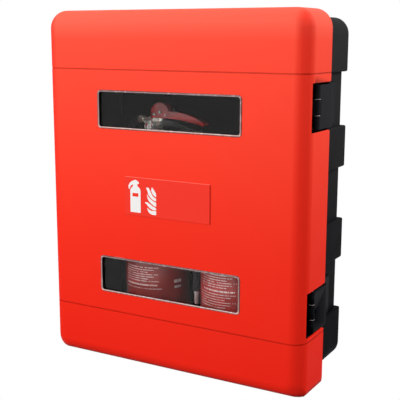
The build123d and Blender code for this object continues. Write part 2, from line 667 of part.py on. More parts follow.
def hose_clip(unit):
    """Band round the bottle with an open clip that holds the hose."""
    inner = BOTTLE_R + FIT_GAP
    band_ring = ring(inner + CLIP_WALL, inner, CLIP_HEIGHT)
    grip_r = HOSE_R + FIT_GAP
    hose_at = Pos(HOSE_REACH, 0, 0)
    stem_end = HOSE_REACH - grip_r
    stem = Pos((inner + stem_end) / 2, 0, 0) * Box(
        stem_end - inner - CLIP_WALL, 2 * CLIP_WALL, CLIP_HEIGHT)
    clip = stem + hose_at * ring(grip_r + CLIP_WALL, grip_r, CLIP_HEIGHT)
    clip -= Pos(HOSE_REACH + grip_r, 0, 0) * Box(grip_r, CLIP_MOUTH, CLIP_HEIGHT + 2 * CUT)
    return unit.on_axis(-CLIP_DROP, Rot(0, 0, unit.hose_angle) * (band_ring + clip))


def bracket(unit):
    """Steel wall bracket: plate, fork under the valve's collar and two gussets."""
    plate_z = unit.collar_z - BRACKET_PLATE_HEIGHT / 2
    face_y = WALL_Y - BRACKET_SHEET
    part = plate(BRACKET_WIDTH, BRACKET_PLATE_HEIGHT, BRACKET_SHEET, face_y, WALL_Y, x=unit.x, z=plate_z)
    tip_y = BOTTLE_Y - NECK_R
    fork_z = unit.collar_z - FIT_GAP - BRACKET_SHEET / 2
    slot = 2 * (NECK_R + FIT_GAP)
    fork = Pos(unit.x, (face_y + tip_y) / 2, fork_z) * Box(BRACKET_WIDTH, face_y - tip_y, BRACKET_SHEET)
    fork -= Pos(unit.x, BOTTLE_Y, fork_z) * Cylinder(slot / 2, 2 * BRACKET_SHEET)
    fork -= Pos(unit.x, BOTTLE_Y - NECK_R, fork_z) * Box(slot, 2 * NECK_R, 2 * BRACKET_SHEET)
    part += fork
    top = fork_z - BRACKET_SHEET / 2
    for side in (-1, 1):
        gusset = make_face(Polyline((face_y, top), (face_y - BRACKET_GUSSET, top),
                                    (face_y, top - BRACKET_GUSSET), close=True))
        x = unit.x + side * BRACKET_GUSSET_SPACING / 2
        part += Pos(x - BRACKET_SHEET / 4, 0, 0) * extrude(Plane.YZ * gusset, BRACKET_SHEET / 2)
    return part


def cradle(unit):
    """Black moulded rest on the tub's back that the bottle leans against."""
    z = unit.collar_z - CRADLE_DROP
    front_y = BOTTLE_Y + BOTTLE_R * 0.8
    part = plate(CRADLE_WIDTH, CRADLE_HEIGHT, CRADLE_WALL, WALL_Y - CRADLE_WALL, WALL_Y, x=unit.x, z=z)
    depth = WALL_Y - front_y
    for side in (-1, 1):
        shelf_z = z + side * (CRADLE_HEIGHT - CRADLE_WALL) / 2
        web_x = unit.x + side * CRADLE_WEB_SPACING / 2
        part += Pos(unit.x, WALL_Y - depth / 2, shelf_z) * Box(CRADLE_WIDTH, depth, CRADLE_WALL)
        part += Pos(web_x, WALL_Y - depth / 2, z) * Box(CRADLE_WALL, depth, CRADLE_HEIGHT)
    return part - Pos(unit.x, BOTTLE_Y, z) * Cylinder(BOTTLE_R + FIT_GAP, 2 * CRADLE_HEIGHT)


def main():
    """Builds every piece and saves each in its own file."""
    os.makedirs("parts", exist_ok=True)
    write("body_tub", body_tub())
    write("door_shell", door_shell())
    write("sign_plate", sign_plate())
    for level, z in WINDOW_ZS.items():
        write(f"window_pane_{level}", window_pane(z))
        write(f"window_frame_{level}", window_frame(z))
    for level, z in NOTCH_ZS.items():
        write(f"hinge_arm_{level}", hinge_arm(z))
        write(f"hinge_pin_{level}", hinge_pin(z))
        write(f"door_knuckle_{level}", door_knuckle(z))
        write(f"keeper_{level}", keeper(z))
        write(f"catch_{level}", catch(z))
    makers = {"bottle": bottle, "base_ring": base_ring, "valve": valve, "gauge": gauge, "lever": lever,
              "carry_handle": carry_handle, "safety_pin": safety_pin, "hose": hose, "nozzle": nozzle,
              "hose_clip": hose_clip, "bracket": bracket, "cradle": cradle}
    for side, unit in EXTINGUISHERS.items():
        for name, maker in makers.items():
            write(f"{name}_{side}", maker(unit))


main()
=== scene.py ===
"""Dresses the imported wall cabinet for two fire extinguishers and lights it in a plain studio."""
from __future__ import annotations

import logging
import math
from dataclasses import dataclass
from enum import Enum
from functools import cache, cached_property, reduce
from typing import Sequence

import bpy
from mathutils import Matrix, Vector

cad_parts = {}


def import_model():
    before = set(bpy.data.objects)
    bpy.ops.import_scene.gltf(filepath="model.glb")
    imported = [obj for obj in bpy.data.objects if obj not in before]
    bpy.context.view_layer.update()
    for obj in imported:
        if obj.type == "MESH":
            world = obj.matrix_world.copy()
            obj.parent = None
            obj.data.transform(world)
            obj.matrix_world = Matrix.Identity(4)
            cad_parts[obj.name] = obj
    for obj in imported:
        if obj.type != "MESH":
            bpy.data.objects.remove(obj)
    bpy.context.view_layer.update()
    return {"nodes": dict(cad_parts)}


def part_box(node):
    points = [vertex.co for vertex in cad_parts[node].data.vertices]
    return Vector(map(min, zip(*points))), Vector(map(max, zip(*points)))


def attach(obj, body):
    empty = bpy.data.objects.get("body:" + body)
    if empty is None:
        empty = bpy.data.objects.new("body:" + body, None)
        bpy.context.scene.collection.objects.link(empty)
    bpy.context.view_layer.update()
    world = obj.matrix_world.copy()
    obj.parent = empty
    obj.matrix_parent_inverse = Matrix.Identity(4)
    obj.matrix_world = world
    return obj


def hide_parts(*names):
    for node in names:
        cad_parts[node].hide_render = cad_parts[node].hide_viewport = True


LOG = logging.getLogger("cabinet")
MM = 0.001
MERGE_DISTANCE = 0.000001
SMOOTH_ANGLE = 35.0
BEVEL_ANGLE = 40.0
NOISE_RANGE = (0.3, 0.7)

Colour = tuple[float, float, float]
Point = tuple[float, float, float]
Pair = tuple[float, float]
Profile = tuple[Pair, ...]
Row = tuple[float, float, float, float, float]
Span = tuple[float, float, float, float]
Noise = tuple[float | Point, ...]
Piece = bpy.types.Object
Socket = bpy.types.NodeSocket


class Body(Enum):
    """Bodies of the frame that pieces ride on."""

    CABINET = "cabinet"
    DOOR = "door"


class Side(Enum):
    """The two extinguishers, seen from the front."""

    LEFT = "left"
    RIGHT = "right"


class Level(Enum):
    """The two rows of windows, hinges and catches."""

    UPPER = "upper"
    LOWER = "lower"


# Shading.


class Sheet:
    """Node tree of a material or a world, with short calls that add and join its nodes."""

    def __init__(self, owner: bpy.types.ID, output: str = "OutputMaterial", shader: str = "BsdfPrincipled") -> None:
        """Starts a tree with an output and a shader.

        Args:
            owner: Material or world whose tree is filled in.
            output: Blender's class name of the output, without ShaderNode.
            shader: The same of the shader.
        """
        owner.use_nodes = True
        self.tree = owner.node_tree
        self.tree.nodes.clear()
        self.output = self.tree.nodes.new(f"ShaderNode{output}").inputs["Surface"]
        self.surface = self.node(shader, {})
        self.feed(self.output, self.surface)

    @cached_property
    def place(self) -> Socket:
        """Object coordinates."""
        return self.node("TexCoord", {}, "Object")

    def feed(self, socket: Socket, value: object) -> None:
        """Joins an output socket to an input, or sets the input to a constant.

        Args:
            socket: Input socket that is fed.
            value: An output socket, a number, a vector or a colour of three channels.
        """
        if isinstance(value, bpy.types.NodeSocket):
            self.tree.links.new(value, socket)
        else:
            socket.default_value = (*value, 1.0) if socket.type == "RGBA" else value

    def node(self, kind: str, inputs: dict[str | int, object], output: str | int = 0, **settings: object) -> Socket:
        """Adds a node, sets its properties and feeds its inputs.

        Args:
            kind: Blender's class name of the node, without ShaderNode.
            inputs: Values or output sockets by the name or number of the input.
            output: Name or number of the output that is wanted.
            **settings: Properties of the node by name.

        Returns:
            The output.
        """
        node = self.tree.nodes.new(f"ShaderNode{kind}")
        for key, value in settings.items():
            setattr(node, key, value)
        for key, value in inputs.items():
            self.feed(node.inputs[key], value)
        return node.outputs[output]

    def scaled(self, scale: Point, shift: Point = (0.0, 0.0, 0.0)) -> Socket:
        """Object coordinates scaled and then moved on each axis."""
        return self.node("Mapping", {"Vector": self.place, "Scale": scale, "Location": shift})

    def axes(self, centre: Point | None = None) -> Sequence[Socket]:
        """Object coordinates as X, Y and Z, counted from a centre where one is given."""
        vector = self.place if centre is None else self.scaled((1.0, 1.0, 1.0), tuple(-part for part in centre))
        return self.node("SeparateXYZ", {"Vector": vector}).node.outputs

    def noise(self, scale: float, detail: float = 3.0, fine: float = 0.5, stretch: Point | None = None) -> Socket:
        """Noise between 0 and 1, by features per metre, octaves, the fine octaves' weight and its stretch."""
        vector = self.place if stretch is None else self.scaled(stretch)
        return self.node("TexNoise", {"Vector": vector, "Scale": scale, "Detail": detail, "Roughness": fine})

    def span(self, value: object, low: float, high: float, start: float = 0.0, end: float = 1.0) -> Socket:
        """Maps a value from start..end to low..high, clamped."""
        inputs = {"Value": value, "From Min": start, "From Max": end, "To Min": low, "To Max": high}
        return self.node("MapRange", inputs)

    def math(self, operation: str, first: object, second: object = 0.0) -> Socket:
        """One arithmetic step."""
        return self.node("Math", {0: first, 1: second}, operation=operation)

    def times(self, *factors: object) -> Socket:
        """Product of several values."""
        return reduce(lambda first, second: self.math("MULTIPLY", first, second), factors)

    def away(self, value: object, middle: float) -> Socket:
        """Distance of a value from a middle."""
        return self.math("ABSOLUTE", self.math("SUBTRACT", value, middle))

    def within(self, value: object, low: float, high: float) -> Socket:
        """1 where a value lies between two bounds, else 0."""
        return self.times(self.math("GREATER_THAN", value, low), self.math("LESS_THAN", value, high))

    def mix(self, factor: object, first: object, second: object) -> Socket:
        """Colour between two colours, where a factor of 1 gives the second."""
        return self.node("Mix", {"Factor": factor, 6: first, 7: second}, 2, data_type="RGBA")

    def bump(self, height: Socket, depth: float, strength: float = 1.0, under: Socket | None = None) -> Socket:
        """Normal disturbed by a height, on top of another bump's normal where one is given."""
        inputs = {"Height": height, "Distance": depth, "Strength": strength}
        return self.node("Bump", inputs if under is None else {**inputs, "Normal": under})

    def set(self, **sockets: object) -> None:
        """Feeds sockets of the shader, named with underscores for spaces."""
        for key, value in sockets.items():
            self.feed(self.surface.node.inputs[key.replace("_", " ")], value)


def darker(colour: Colour, factor: float) -> Colour:
    """The colour times a factor."""
    return tuple(channel * factor for channel in colour)


@dataclass(frozen=True)
class Finish:
    """A finish and its slot; each kind of surface fills in the node tree."""

    name: str
    slot: str

    def build(self) -> bpy.types.Material:
        """Makes the material.

        Returns:
            The finished material.
        """
        material = bpy.data.materials.new(self.name)
        self.paint(Sheet(material))
        return material

    def paint(self, sheet: Sheet) -> None:
        """Fills in the node tree of the sheet."""
        raise NotImplementedError


@dataclass(frozen=True)
class MouldedPlastic(Finish):
    """Moulded plastic: faint flow marks in the colour, fine grain and uneven roughness, and painted light that makes
    it lighter towards the top where a top colour is given.
    """

    colour: Colour = (0.5, 0.5, 0.5)
    # Colour at the top as painted light; the colour grows towards it with height.
    painted_top_light: Colour | None = None
    reach_z: float = 0.41
    rough: float = 0.4
    rough_swing: float = 0.06
    smudge: Noise = (14.0, 4.0, 0.6)
    flow: float = 0.06
    drift: Noise = (2.5, 3.0, 0.55, (1.0, 1.0, 0.35))
    grain_scale: float = 900.0
    grain_depth: float = 0.00003
    wave: Noise = (9.0, 1.0, 0.4)
    wave_depth: float = 0.0004
    gloss: float = 0.0075

    def ground(self, sheet: Sheet) -> Socket:
        """Colour with flow marks, lighter towards the top as painted light.

        Args:
            sheet: Its node tree.

        Returns:
            The colour.
        """
        base: object = self.colour
        if self.painted_top_light is not None:
            # Painted light: lighter with height.
            rise = sheet.span(sheet.axes()[2], 0.0, 1.0, -self.reach_z, self.reach_z)
            base = sheet.mix(rise, self.colour, self.painted_top_light)
        value = sheet.span(sheet.noise(*self.drift), 1.0 - self.flow, 1.0 + self.flow, *NOISE_RANGE)
        return sheet.node("HueSaturation", {"Color": base, "Value": value})

    def paint(self, sheet: Sheet) -> None:
        """Colour with flow marks, grain and waves as bump, and smudges that are rougher.

        Args:
            sheet: Its node tree.
        """
        low, high = self.rough - self.rough_swing, self.rough + self.rough_swing
        rough = sheet.span(sheet.noise(*self.smudge), low, high, *NOISE_RANGE)
        grain = sheet.bump(sheet.noise(self.grain_scale, 2.0, 0.6), self.grain_depth)
        wave = sheet.bump(sheet.noise(*self.wave), self.wave_depth, under=grain)
        sheet.set(Base_Color=self.ground(sheet), Roughness=rough, Normal=wave, Specular_IOR_Level=self.gloss)


@dataclass(frozen=True)
class DoorPlastic(MouldedPlastic):
    """The door's plastic, with painted light: lighter on top with a painted highlight along the top rounding,
    painted shade on the rounded side edges, at its foot and in its grooves, and painted black in its hinge pockets.
    """

    # Painted light: the colour that the top grows towards, with a painted highlight along the top rounding.
    top_light_colour: Colour = (0.98, 0.115, 0.072)
    top_light_z: Pair = (-0.15, 0.34)
    top_light_power: float = 1.5
    crest_highlight_z: Pair = (0.350, 0.384)
    crest_highlight: float = 0.60
    # Painted shade on the rounded side edges, near the front.
    side_shade_x: Pair = (0.302, 0.318)
    side_shade_y: Pair = (-0.252, -0.234)
    side_shade: float = 0.62
    # Painted shade on the rounded lower edge.
    foot_z: Pair = (-0.4175, -0.400)
    foot_power: float = 1.35
    foot_shade: float = 0.06
    # Grooves with painted shade, broken up by noise.
    grooves: Pair = (0.2838, -0.2892)
    groove_half: float = 0.0013
    patch: Noise = (30.0, 2.0)
    patch_span: Span = (0.8, 1.0, 0.35, 0.65)
    groove_shade: float = 0.62
    rows: Pair = (0.2138, -0.2301)
    row_half: float = 0.0528
    pocket_x: Pair = (0.3155, 0.3312)
    pocket_y: float = -0.2495
    # Black painted into the hinge pockets.
    pocket_black: Colour = (0.008, 0.006, 0.006)

    def masks(self, sheet: Sheet) -> tuple[Socket, Socket]:
        """Where the painted shade of the grooves and the painted black of the pockets lie.

        Args:
            sheet: Its node tree.

        Returns:
            The grooves' mask and the pockets' mask.
        """
        across, depth, height = sheet.axes()
        groove: object = 0.0
        pocket: object = 0.0
        for groove_z, row_z in zip(self.grooves, self.rows):
            near = sheet.span(sheet.away(height, groove_z), 1.0, 0.0, self.groove_half, self.groove_half * 1.5)
            groove = sheet.math("MAXIMUM", groove, near)
            level = sheet.math("LESS_THAN", sheet.away(height, row_z), self.row_half)
            pocket = sheet.math("MAXIMUM", pocket, level)
        patch = sheet.span(sheet.noise(*self.patch), *self.patch_span)
        inside = sheet.within(sheet.math("ABSOLUTE", across), *self.pocket_x)
        behind = sheet.math("GREATER_THAN", depth, self.pocket_y)
        return sheet.times(groove, patch), sheet.times(pocket, inside, behind)

    def ground(self, sheet: Sheet) -> Socket:
        """The colour by the place on the door, with its painted light and shade.

        Args:
            sheet: Its node tree.

        Returns:
            The colour.
        """
        across, depth, height = sheet.axes()
        # Painted light towards the top, and a painted highlight on the top rounding.
        top_light = sheet.math("POWER", sheet.span(height, 0.0, 1.0, *self.top_light_z), self.top_light_power)
        crest_highlight = sheet.span(height, 0.0, self.crest_highlight, *self.crest_highlight_z)
        top_light = sheet.math("ADD", sheet.times(top_light, 1.0 - self.crest_highlight), crest_highlight)
        plain = sheet.mix(top_light, super().ground(sheet), self.top_light_colour)
        # Painted shade: the rounded side edges lose the painted top light.
        side = sheet.span(sheet.math("ABSOLUTE", across), 0.0, self.side_shade, *self.side_shade_x)
        plain = sheet.mix(sheet.times(side, sheet.span(depth, 1.0, 0.0, *self.side_shade_y)), plain, self.colour)
        # Painted shade at the foot, darker towards the bottom edge.
        foot = sheet.math("POWER", sheet.span(height, 1.0, 0.0, *self.foot_z), self.foot_power)
        plain = sheet.mix(foot, plain, darker(self.colour, self.foot_shade))
        groove, pocket = self.masks(sheet)
        # Painted shade in the grooves; the pockets are painted black.
        groove_shaded = sheet.node("HueSaturation", {"Color": plain, "Value": self.groove_shade})
        return sheet.mix(pocket, sheet.mix(groove, plain, groove_shaded), self.pocket_black)


@dataclass(frozen=True)
class PlatePlastic(MouldedPlastic):
    """The sign's plate, with a painted highlight along its upper edge and painted shade along its right one."""

    upper_z: float = 0.0418
    right_x: float = 0.1120
    edge: float = 0.0012
    painted_edge_share: float = 0.9
    # Painted highlight along the upper edge.
    pale: Colour = (0.95, 0.20, 0.15)
    # Painted shade along the right edge.
    shaded: Colour = (0.52, 0.016, 0.012)

    def ground(self, sheet: Sheet) -> Socket:
        """The plastic's colour with the painted highlight and painted shade at two edges.

        Args:
            sheet: Its node tree.

        Returns:
            The colour.
        """
        colour = super().ground(sheet)
        across, _, height = sheet.axes()
        # Painted highlight on the upper edge, painted shade on the right one.
        for value, end, mark in ((height, self.upper_z, self.pale), (across, self.right_x, self.shaded)):
            share = sheet.span(value, 0.0, self.painted_edge_share, end - self.edge, end - self.edge / 2)
            colour = sheet.mix(share, colour, mark)
        return colour


@dataclass(frozen=True)
class Coating(Finish):
    """Surface with stains, duller marks and a fine relief, each from a noise."""

    colour: Colour = (0.9, 0.9, 0.9)
    shades: Pair = (0.93, 1.0)
    stain: Noise = (700.0, 3.0, 0.6)
    stain_span: Span = (0.0, 1.0, 0.35, 0.7)
    rough: float = 0.5
    mark: Noise = (700.0, 3.0, 0.6)
    mark_span: Span = (-0.08, 0.10, 0.0, 1.0)
    relief: Noise = (700.0, 3.0, 0.6)
    depth: float = 0.00001
    strength: float = 1.0
    metal: float = 0.0
    coat: float = 0.0
    coat_rough: float = 0.06

    def paint(self, sheet: Sheet) -> None:
        """Colour between two shades, roughness that follows the marks, and the relief as bump.

        Args:
            sheet: Its node tree.
        """
        low, high, start, end = self.mark_span
        rough = sheet.span(sheet.noise(*self.mark), self.rough + low, self.rough + high, start, end)
        stain = sheet.span(sheet.noise(*self.stain), *self.stain_span)
        colour = sheet.mix(stain, *(darker(self.colour, share) for share in self.shades))
        sheet.set(Base_Color=colour, Roughness=rough, Metallic=self.metal, Coat_Weight=self.coat,
                  Coat_Roughness=self.coat_rough,
                  Normal=sheet.bump(sheet.noise(*self.relief), self.depth, self.strength))


@dataclass(frozen=True)
class Enamel(Coating):
    """Gloss paint on steel: orange peel, slight fading and small scuffs."""

    shades: Pair = (0.88, 1.08)
    stain: Noise = (6.0,)
    stain_span: Span = (0.0, 1.0, *NOISE_RANGE)
    rough: float = 0.22
    mark: Noise = (220.0, 5.0, 0.7, (1.0, 1.0, 0.08))
    mark_span: Span = (0.0, 0.22, 0.58, 0.75)
    relief: Noise = (420.0, 1.0, 0.4)
    depth: float = 0.00004
    coat: float = 0.5


@dataclass(frozen=True)
class Plated(Coating):
    """Plated or bare metal with handling marks and fine turning marks."""

    shades: Pair = (0.82, 1.0)
    stain: Noise = (60.0, 4.0, 0.6)
    rough: float = 0.2
    mark: Noise = (500.0, 2.0, 0.5, (0.15, 0.15, 1.0))
    mark_span: Span = (0.0, 0.15, 0.35, 0.7)
    relief: Noise = (500.0, 2.0, 0.5, (0.15, 0.15, 1.0))
    depth: float = 0.00003
    strength: float = 0.6


@dataclass(frozen=True)
class ClearPlastic(Finish):
    """Clear moulded pane with a faint haze and tiny ripples."""

    colour: Colour = (0.96, 0.965, 0.96)
    ior: float = 1.22
    haze: Noise = (40.0, 3.0, 0.6)
    haze_span: Span = (0.02, 0.07, 0.4, 0.8)
    ripple: Noise = (12.0, 2.0, 0.4)
    ripple_depth: float = 0.0002

    def paint(self, sheet: Sheet) -> None:
        """Clear shader with ripples and haze.

        Args:
            sheet: Its node tree.
        """
        sheet.set(Base_Color=self.colour, Transmission_Weight=1.0, IOR=self.ior,
                  Roughness=sheet.span(sheet.noise(*self.haze), *self.haze_span),
                  Normal=sheet.bump(sheet.noise(*self.ripple), self.ripple_depth, 0.3))


@dataclass(frozen=True)
class BeadLightPaint(Finish):
    """Bead round a clear moulding, coloured with painted light: pale at its foot, darker above, painted shade at its
    outer rim, and small painted glints.
    """

    centre_z: float
    width: float
    height: float
    # Painted light: pale at the bead's foot, darker towards its top.
    low: Colour = (0.80, 0.54, 0.50)
    high: Colour = (0.44, 0.31, 0.31)
    outer_shade: Colour = (0.16, 0.05, 0.045)
    glint_colour: Colour = (0.90, 0.84, 0.82)
    bead: float = 0.004
    inner: float = 0.0026
    outer: float = 0.0017
    spots: float = 0.5
    glint_noise: Noise = (95.0, 4.0, 0.7)
    clear: float = 0.25

    def paint(self, sheet: Sheet) -> None:
        """Painted light that falls off upwards, painted shade outwards, broken up by painted glints.

        Args:
            sheet: Its node tree.
        """
        across, _, height = sheet.axes()
        half = self.height / 2
        # Painted light that falls off upwards, broken up by painted glints.
        rise = sheet.span(height, 0.0, 1.0, self.centre_z - half + self.bead, self.centre_z + half - self.bead)
        fade = sheet.mix(sheet.math("POWER", rise, 0.45), self.low, self.high)
        glint_noise = sheet.noise(*self.glint_noise)
        colour = sheet.mix(sheet.span(glint_noise, 0.0, self.spots, 0.52, 0.66), fade, self.glint_colour)
        # Painted shade towards the outer rim.
        out_x = sheet.math("SUBTRACT", sheet.math("ABSOLUTE", across), self.width / 2)
        out_z = sheet.math("SUBTRACT", sheet.away(height, self.centre_z), half)
        reach = sheet.math("MAXIMUM", out_x, out_z)
        colour = sheet.mix(sheet.span(reach, 0.0, 0.85, -self.inner, -self.outer), colour, self.outer_shade)
        sheet.set(Base_Color=colour, Roughness=sheet.span(glint_noise, 0.12, 0.4, 0.35, 0.7),
                  Transmission_Weight=self.clear, IOR=1.45, Specular_IOR_Level=0.4)


@dataclass(frozen=True)
class PrintedLabel(Finish):
    """Red label round a bottle, with rows of plain pale strokes."""

    centre: Pair
    rows: tuple[Row, ...]
    colour: Colour
    ink: Colour = (0.78, 0.66, 0.64)
    stroke: float = 2.4
    gap: float = 0.43
    thin: float = 0.9
    film: Noise = (240.0, 3.0, 0.6)

    def strokes(self, sheet: Sheet) -> Socket:
        """Rows of strokes whose lengths and gaps vary.

        Args:
            sheet: Its node tree.

        Returns:
            1 on a stroke, else 0.
        """
        x, y, height = sheet.axes((*self.centre, 0.0))
        angle = sheet.times(sheet.math("ARCTAN2", y, x), math.degrees(1.0))
        marks: object = 0.0
        for middle, thick, start, end, seed in self.rows:
            along = sheet.node("CombineXYZ", {"X": sheet.math("DIVIDE", angle, self.stroke), "Y": seed})
            noise = sheet.node("TexNoise", {"Vector": along, "Scale": 1.0, "Detail": 1.0, "Roughness": 0.6})
            row = sheet.within(height, middle - thick / 2, middle + thick / 2)
            row = sheet.times(row, sheet.within(angle, start, end), sheet.math("GREATER_THAN", noise, self.gap))
            marks = sheet.math("MAXIMUM", marks, row)
        return marks

    def paint(self, sheet: Sheet) -> None:
        """Red film with pale strokes.

        Args:
            sheet: Its node tree.
        """
        film = sheet.noise(*self.film)
        ground = sheet.mix(sheet.span(film, 0.0, 1.0, 0.35, 0.7), darker(self.colour, self.thin), self.colour)
        sheet.set(Base_Color=sheet.mix(self.strokes(sheet), ground, self.ink),
                  Roughness=sheet.span(film, 0.26, 0.38), Coat_Weight=0.3, Coat_Roughness=0.1)


@dataclass(frozen=True)
class DialFace(Finish):
    """Pale gauge dial with a green arc between two red ones."""

    centre: Pair
    arc_r: Pair = (0.0056, 0.0086)
    green_turn: float = 0.55
    red_turn: float = 1.9
    pale: Colour = (0.90, 0.90, 0.88)
    dull: Colour = (0.80, 0.80, 0.78)
    rim: Colour = (0.05, 0.05, 0.05)
    red: Colour = (0.30, 0.03, 0.03)
    green: Colour = (0.03, 0.16, 0.05)

    def paint(self, sheet: Sheet) -> None:
        """Arcs by the angle and distance from the dial's centre.

        Args:
            sheet: Its node tree.
        """
        x, _, z = sheet.axes((self.centre[0], 0.0, self.centre[1]))
        reach = sheet.math("SQRT", sheet.math("ADD", sheet.times(x, x), sheet.times(z, z)))
        turn = sheet.math("ABSOLUTE", sheet.math("ARCTAN2", x, z))
        colour = sheet.mix(sheet.noise(900.0, 2.0), self.pale, self.dull)
        colour = sheet.mix(sheet.math("GREATER_THAN", reach, self.arc_r[1]), colour, self.rim)
        band = sheet.within(reach, *self.arc_r)
        for limit, paint in ((self.red_turn, self.red), (self.green_turn, self.green)):
            colour = sheet.mix(sheet.times(band, sheet.math("LESS_THAN", turn, limit)), colour, paint)
        sheet.set(Base_Color=colour, Roughness=0.35, Coat_Weight=0.6, Coat_Roughness=0.05)


# Studio.


@dataclass
class Studio:
    """Camera at the photograph's viewing angle, a pale floor and soft lamps."""

    eye: Point = (0.98558, -1.84694, 0.35773)
    yaw: float = 29.668
    pitch: float = 10.983
    roll: float = 0.122
    lens: float = 75.817
    floor_z: float = -1.15
    floor_size: float = 14.0
    floor_grey: Colour = (0.32, 0.32, 0.32)
    room: float = 0.48
    lamps: tuple[tuple[str, Point, Point, Pair, float], ...] = (
        ("key_lamp", (-1.06, -2.8, 1.35), (0.0, -0.2, 0.0), (1.0, 1.0), 69.0),
        ("top_lamp", (-0.7, -0.4, 2.3), (0.0, -0.2, 0.3), (0.9, 0.5), 9.0),
        ("right_lamp", (2.1, 0.9, 1.7), (0.3, -0.15, 0.0), (1.0, 1.0), 51.0))

    def place_camera(self) -> None:
        """Adds the camera and makes it the scene's."""
        data = bpy.data.cameras.new("photo_camera")
        data.lens = self.lens
        yaw, pitch, roll = (math.radians(angle) for angle in (self.yaw, self.pitch, self.roll))
        camera = bpy.data.objects.new("photo_camera", data)
        bpy.context.scene.collection.objects.link(camera)
        camera.matrix_world = (Matrix.Translation(self.eye) @ Matrix.Rotation(yaw, 4, "Z")
                               @ Matrix.Rotation(math.pi / 2 - pitch, 4, "X") @ Matrix.Rotation(roll, 4, "Z"))
        bpy.context.scene.camera = camera

    def white_to_camera(self, sheet: Sheet, kind: str) -> None:
        """Shows plain white to the camera, in mirrors and through glass.

        Args:
            sheet: Tree whose shader all other rays see.
            kind: Class name of the shader that shows white, without ShaderNode.
        """
        seen = sheet.node("LightPath", {}, "Is Camera Ray")
        for ray in ("Is Transmission Ray", "Is Glossy Ray"):
            seen = sheet.math("MAXIMUM", seen, sheet.node("LightPath", {}, ray))
        white = sheet.node(kind, {"Color": (1.0, 1.0, 1.0), "Strength": 1.0})
        sheet.feed(sheet.output, sheet.node("MixShader", {0: seen, 1: sheet.surface, 2: white}))

    def lay_floor(self) -> None:
        """Adds the pale floor below the cabinet."""
        hold()
        bpy.ops.mesh.primitive_plane_add(size=self.floor_size, location=(0.0, 0.0, self.floor_z))
        floor = take("studio_floor")
        material = bpy.data.materials.new("pale_floor")
        sheet = Sheet(material)
        sheet.set(Base_Color=self.floor_grey, Roughness=0.6)
        self.white_to_camera(sheet, "Emission")
        floor.data.materials.append(material)

    def set_world(self) -> None:
        """A pale surround that lights the object evenly."""
        world = bpy.data.worlds.new("pale_room")
        bpy.context.scene.world = world
        sheet = Sheet(world, "OutputWorld", "Background")
        sheet.set(Color=(1.0, 1.0, 1.0), Strength=self.room)
        self.white_to_camera(sheet, "Background")

    def hang_lamps(self) -> None:
        """Adds the soft rectangular lamps, each with its place, target, size and power."""
        for name, place, target, size, power in self.lamps:
            data = bpy.data.lights.new(name, "AREA")
            data.shape = "RECTANGLE"
            data.size, data.size_y = size
            data.energy = power
            lamp = bpy.data.objects.new(name, data)
            bpy.context.scene.collection.objects.link(lamp)
            lamp.location = place
            lamp.rotation_euler = (Vector(target) - Vector(place)).to_track_quat("-Z", "Y").to_euler()

    def build(self) -> None:
        """Sets up the whole studio."""
        bpy.context.scene.view_settings.view_transform = "Standard"
        self.place_camera()
        self.lay_floor()
        self.set_world()
        self.hang_lamps()


# Modelling by hand.


def hold(*pieces: Piece) -> None:
    """Leaves edit mode and selects some pieces alone, with the first one active.

    Args:
        *pieces: Pieces that are selected; none leaves nothing selected.
    """
    if bpy.context.mode != "OBJECT":
        bpy.ops.object.mode_set(mode="OBJECT")
    bpy.ops.object.select_all(action="DESELECT")
    for piece in pieces:
        piece.select_set(True)
        bpy.context.view_layer.objects.active = pieces[0]


def take(name: str) -> Piece:
    """The active object, named with its mesh."""
    bpy.context.active_object.name = bpy.context.active_object.data.name = name
    return bpy.context.active_object


def settle(piece: Piece, smooth: float = SMOOTH_ANGLE) -> Piece:
    """Moves the piece's place into its mesh and shades it.

    Args:
        piece: Piece that is finished.
        smooth: Angle in degrees below which faces shade as one surface.

    Returns:
        The same piece.
    """
    hold(piece)
    bpy.ops.object.transform_apply(location=True, rotation=True, scale=True)
    bpy.ops.object.shade_smooth_by_angle(angle=math.radians(smooth))
    return piece


def apply_modifier(piece: Piece, kind: str, **settings: object) -> None:
    """Adds a modifier to the piece and applies it.

    Args:
        piece: Piece that is changed.
        kind: Blender's name of the modifier.
        **settings: Properties of the modifier by name.
    """
    modifier = piece.modifiers.new(kind.lower(), kind)
    for key, value in settings.items():
        setattr(modifier, key, value)
    hold(piece)
    bpy.ops.object.modifier_apply(modifier=modifier.name)


def soften(piece: Piece, radius: float, segments: int) -> None:
    """Rounds the piece's sharp edges with a bevel of a width and a number of steps."""
    apply_modifier(piece, "BEVEL", width=radius, segments=segments, limit_method="ANGLE",
                   angle_limit=math.radians(BEVEL_ANGLE))


def edit_all(piece: Piece, mode: str = "FACE") -> None:
    """Enters edit mode with the whole piece selected.

    Args:
        piece: Piece that is edited.
        mode: FACE or VERT.
    """
    hold(piece)
    bpy.ops.object.mode_set(mode="EDIT")
    bpy.ops.mesh.select_mode(type=mode)
    bpy.ops.mesh.select_all(action="SELECT")


def face_out(piece: Piece) -> None:
    """Merges the piece's doubles and turns its faces outwards.

    Args:
        piece: Piece that is cleaned.
    """
    edit_all(piece)
    bpy.ops.mesh.remove_doubles(threshold=MERGE_DISTANCE)
    bpy.ops.mesh.normals_make_consistent(inside=False)
    hold()


def push(step: Point) -> None:
    """Extrudes what is selected by a step."""
    bpy.ops.mesh.extrude_region_move(TRANSFORM_OT_translate={"value": step})


def hollow(piece: Piece, margin: float, step: Point) -> None:
    """Opens the middle of a flat piece and pushes the ring that is left.

    Args:
        piece: Flat piece.
        margin: Width of the ring.
        step: Step that the ring is pushed by.
    """
    edit_all(piece)
    bpy.ops.mesh.inset(thickness=margin, depth=0.0)
    bpy.ops.mesh.delete(type="FACE")
    edit_all(piece)
    push(step)
    face_out(piece)


